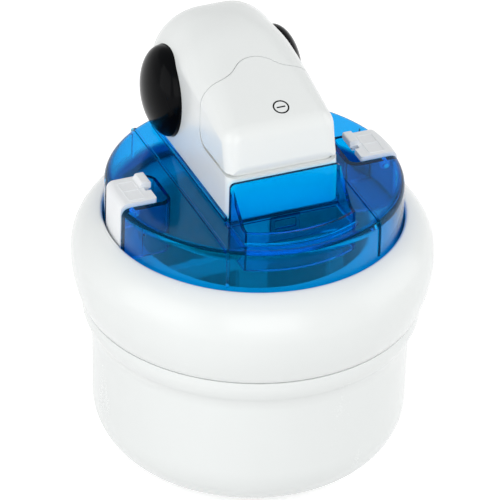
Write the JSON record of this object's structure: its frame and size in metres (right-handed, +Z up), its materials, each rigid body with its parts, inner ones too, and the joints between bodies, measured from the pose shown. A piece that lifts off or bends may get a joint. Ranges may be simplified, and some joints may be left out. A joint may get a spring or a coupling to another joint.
{
  "type": "ice cream maker",
  "caption": "Round white ice cream maker with a bulged ring, clear blue lid, filler chute, rocking latches and a domed motor unit that turns a paddle in a freezer bowl.",
  "frame": {"origin": "on the table, under the middle of the tub, on the axis of paddle and bowl", "axes": "+Z up along the paddle's axis, -Y to the front where the filler chute is, +X to the right latch"},
  "size_m": [0.2124, 0.2124, 0.2639],
  "materials": {
    "white_shell": "glossy moulded white",
    "white_clip": "satin moulded white",
    "bowl_plastic": "matt moulded pale grey",
    "liner_metal": "drawn, satin",
    "coolant": "gel",
    "clear_blue": "clear tinted blue plastic, polished",
    "black_gloss": "glossy black",
    "foot_rubber": "matt",
    "steel": "turned",
    "bronze": "sintered",
    "gear_plastic": "moulded",
    "motor_can": "zinc plated",
    "paddle_plastic": "satin moulded white"
  },
  "bodies": {
    "housing": {"lower_body": "white_shell", "upper_ring": "white_shell", "rubber_feet": "foot_rubber"},
    "freezer_bowl": {"bowl_liner": "liner_metal", "bowl_jacket": "bowl_plastic", "coolant_fill": "coolant", "bowl_rim": "bowl_plastic"},
    "lid": {"lid_shell": "clear_blue", "filler_chute": "clear_blue"},
    "left_clip": {"left_latch": "white_clip"},
    "right_clip": {"right_latch": "white_clip"},
    "paddle": {"mixing_paddle": "paddle_plastic"},
    "motor_unit": {"motor_housing": "white_shell", "motor_base_plate": "white_clip", "base_screws": "steel", "cord_gland": "foot_rubber", "power_switch": "black_gloss", "shaft_bush": "bronze", "gearbox_plate": "steel", "compound_axle": "steel", "drive_motor": "motor_can"},
    "power_button": {"nose_button": "white_shell"},
    "left_release": {"left_release_button": "black_gloss"},
    "right_release": {"right_release_button": "black_gloss"},
    "rotor": {"motor_pinion": "steel"},
    "compound": {"compound_gear": "gear_plastic"},
    "output": {"output_gear": "gear_plastic", "drive_shaft": "steel"}
  },
  "joints": [
    {"name": "bowl_lift", "type": "slide", "parent": "housing", "child": "freezer_bowl", "axis": [0, 0, 1], "range_m": [0, 0.15]},
    {"name": "lid_lift", "type": "slide", "parent": "freezer_bowl", "child": "lid", "axis": [0, 0, 1], "range_m": [0, 0.15]},
    {"name": "left_clip_rock", "type": "hinge", "parent": "lid", "child": "left_clip", "pos_m": [-0.0785, 0.0055, 0.1755], "axis": [0, -1, 0], "range_deg": [0, 38]},
    {"name": "right_clip_rock", "type": "hinge", "parent": "lid", "child": "right_clip", "pos_m": [0.0785, 0.0055, 0.1755], "axis": [0, 1, 0], "range_deg": [0, 38]},
    {"name": "paddle_spin", "type": "hinge", "parent": "lid", "child": "paddle", "pos_m": [0, 0, 0.16], "axis": [0, 0, 1], "continuous": true},
    {"name": "motor_lift", "type": "slide", "parent": "lid", "child": "motor_unit", "axis": [0, 0, 1], "range_m": [0, 0.06]},
    {"name": "power_press", "type": "hinge", "parent": "motor_unit", "child": "power_button", "pos_m": [0, 0, 0.2298], "axis": [1, 0, 0], "range_deg": [0, 2], "stiffness_Nm_per_rad": 3},
    {"name": "left_release_press", "type": "slide", "parent": "motor_unit", "child": "left_release", "axis": [1, 0, 0], "range_m": [0, 0.003], "stiffness_N_per_m": 1500},
    {"name": "right_release_press", "type": "slide", "parent": "motor_unit", "child": "right_release", "axis": [-1, 0, 0], "range_m": [0, 0.003], "stiffness_N_per_m": 1500},
    {"name": "rotor_spin", "type": "hinge", "parent": "motor_unit", "child": "rotor", "pos_m": [0, 0.051, 0.2018], "axis": [0, 0, 1], "continuous": true},
    {"name": "compound_spin", "type": "hinge", "parent": "motor_unit", "child": "compound", "pos_m": [0, 0.026, 0.1968], "axis": [0, 0, 1], "continuous": true},
    {"name": "output_spin", "type": "hinge", "parent": "motor_unit", "child": "output", "pos_m": [0, 0, 0.1918], "axis": [0, 0, 1], "continuous": true}
  ],
  "couplings": [
    {"joint": "output_spin", "follows": "paddle_spin", "ratio": 1},
    {"joint": "compound_spin", "follows": "paddle_spin", "ratio": -3.3333},
    {"joint": "rotor_spin", "follows": "paddle_spin", "ratio": 13.333}
  ]
}
